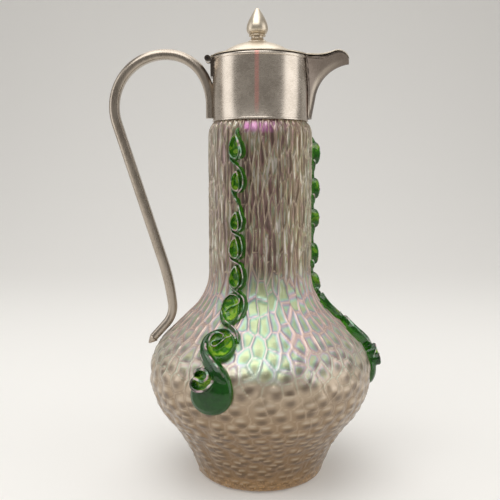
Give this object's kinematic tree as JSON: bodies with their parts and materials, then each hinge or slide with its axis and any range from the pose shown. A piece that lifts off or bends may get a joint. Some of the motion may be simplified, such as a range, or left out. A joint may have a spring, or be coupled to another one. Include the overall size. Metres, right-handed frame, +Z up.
{
  "type": "glass claret jug",
  "caption": "Glass claret jug with a long neck and round belly, green glass trails, a metal collar with a V spout, an arched handle and a hinged domed lid with a finial.",
  "frame": {"origin": "centre of the resting ring under the foot", "axes": "+Z up along the bottle, +X to the spout, -X to the handle; the picture looks along +Y"},
  "size_m": [0.1583, 0.1316, 0.27],
  "materials": {
    "lustre_glass": "taupe lustre glass, glossy, dimpled, with a faint iridescent film",
    "green_glass": "translucent green glass trails, glossy with pink and mint lustre on the lips",
    "plaster": "matt fill",
    "silver_brushed": "silver plate on brass, brushed upright, worn to copper in streaks",
    "silver_satin": "silver plate on brass, satin, lightly tarnished",
    "silver_bright": "silver plate on brass, polished",
    "pin_steel": "plain drawn"
  },
  "bodies": {
    "jug": {"glass_bottle": "lustre_glass", "spout_trail": "green_glass", "front_trail": "green_glass", "back_trail": "green_glass", "plaster_bed": "plaster", "lip_ring": "silver_satin", "collar_band": "silver_brushed", "spout": "silver_brushed", "handle_rod": "silver_satin", "handle_tip": "silver_satin", "collar_leaf": "silver_satin", "hinge_pin": "pin_steel"},
    "lid": {"lid_cover": "silver_bright", "lid_tongue": "silver_bright", "finial_base": "silver_bright", "finial_knob": "silver_bright", "finial_nut": "pin_steel"}
  },
  "joints": [
    {"name": "lid_hinge", "type": "hinge", "parent": "jug", "child": "lid", "pos_m": [-0.0299, 0, 0.2416], "axis": [0, -1, 0], "range_deg": [0, 105]}
  ]
}
